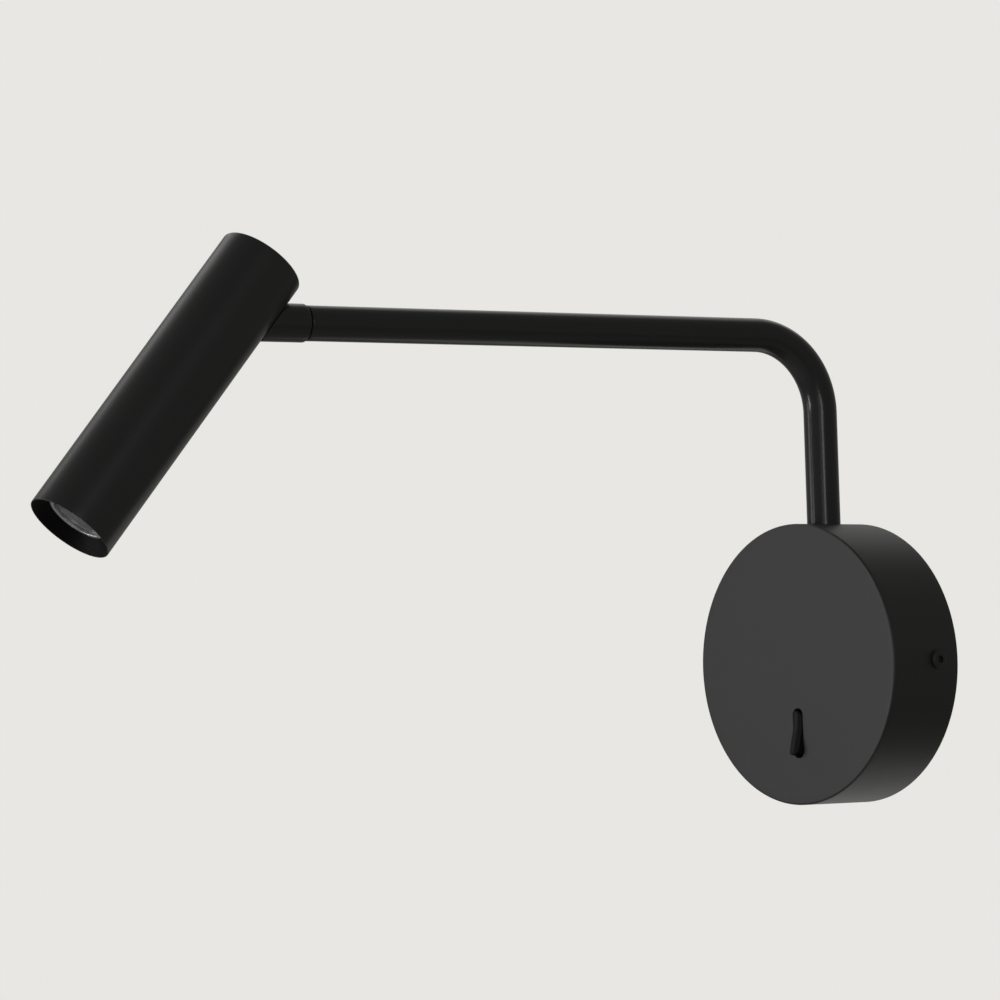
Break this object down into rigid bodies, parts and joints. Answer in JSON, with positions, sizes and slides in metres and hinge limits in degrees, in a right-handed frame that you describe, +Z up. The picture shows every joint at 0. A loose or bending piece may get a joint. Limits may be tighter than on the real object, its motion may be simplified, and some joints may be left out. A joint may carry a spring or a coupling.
{
  "type": "wall reading lamp",
  "caption": "Black wall reading lamp: round backplate with rocker switch, swinging bent tube arm and a tilting cylindrical spot head.",
  "frame": {"origin": "centre of the wall face of the round backplate, on the wall", "axes": "+Z up, +Y into the wall, +X to the right facing the wall; the arm stands out towards -Y"},
  "size_m": [0.1061, 0.3228, 0.1969],
  "materials": {
    "black_paint": "fine matt powder coat",
    "zinc_steel": "bright zinc plate",
    "black_oxide": "black oxide",
    "brass": "turned",
    "raw_aluminium": "machined",
    "white_plastic": "moulded",
    "black_plastic": "moulded satin",
    "gloss_black": "gloss",
    "rubber": "matt",
    "black_nylon": "satin",
    "lens_clear": "clear polished",
    "ring_chrome": "polished",
    "phosphor": "matt",
    "lead_sleeve": "satin"
  },
  "bodies": {
    "base": {"housing": "black_paint", "wall_bracket": "zinc_steel", "cover_screws": "black_oxide", "cable_grommet": "rubber", "earth_screw": "zinc_steel", "terminal_block": "white_plastic", "terminal_screws": "brass", "led_driver": "white_plastic", "driver_screws": "zinc_steel", "arm_bearing": "raw_aluminium", "bearing_screws": "zinc_steel", "base_lead": "lead_sleeve", "switch_body": "black_plastic", "switch_blades": "brass"},
    "arm": {"arm_tube": "black_paint", "arm_plug": "brass", "swing_washer": "black_nylon", "thrust_ring": "zinc_steel", "swivel_bush": "brass", "arm_lead": "lead_sleeve"},
    "knuckle": {"knuckle": "black_paint", "swivel_washer": "black_nylon", "swivel_stop": "zinc_steel", "swivel_nut": "zinc_steel", "knuckle_lead": "lead_sleeve"},
    "head": {"head_tube": "black_paint", "rear_cap": "black_paint", "pivot_yoke": "raw_aluminium", "pivot_pin": "zinc_steel", "tilt_washers": "black_nylon", "heat_sink": "raw_aluminium", "led_board": "raw_aluminium", "led_chip": "phosphor", "board_screws": "zinc_steel", "lens_holder": "gloss_black", "lens": "lens_clear", "lens_ring": "ring_chrome", "head_lead": "lead_sleeve"},
    "rocker": {"switch_rocker": "black_plastic"}
  },
  "joints": [
    {"name": "arm_swing", "type": "hinge", "parent": "base", "child": "arm", "pos_m": [0, -0.015, 0.06], "axis": [0, 0, 1], "range_deg": [-80.4, 95.6]},
    {"name": "head_swivel", "type": "hinge", "parent": "arm", "child": "knuckle", "pos_m": [-0.02785, -0.22375, 0.1175], "axis": [-0.1323, -0.9912, 0], "range_deg": [-160, 160]},
    {"name": "head_tilt", "type": "hinge", "parent": "knuckle", "child": "head", "pos_m": [-0.03207, -0.25537, 0.1175], "axis": [0.9912, -0.1323, 0], "range_deg": [0, 39.5]},
    {"name": "switch_rock", "type": "hinge", "parent": "base", "child": "rocker", "pos_m": [0, -0.0273, -0.0245], "axis": [1, 0, 0], "range_deg": [0, 8]}
  ]
}
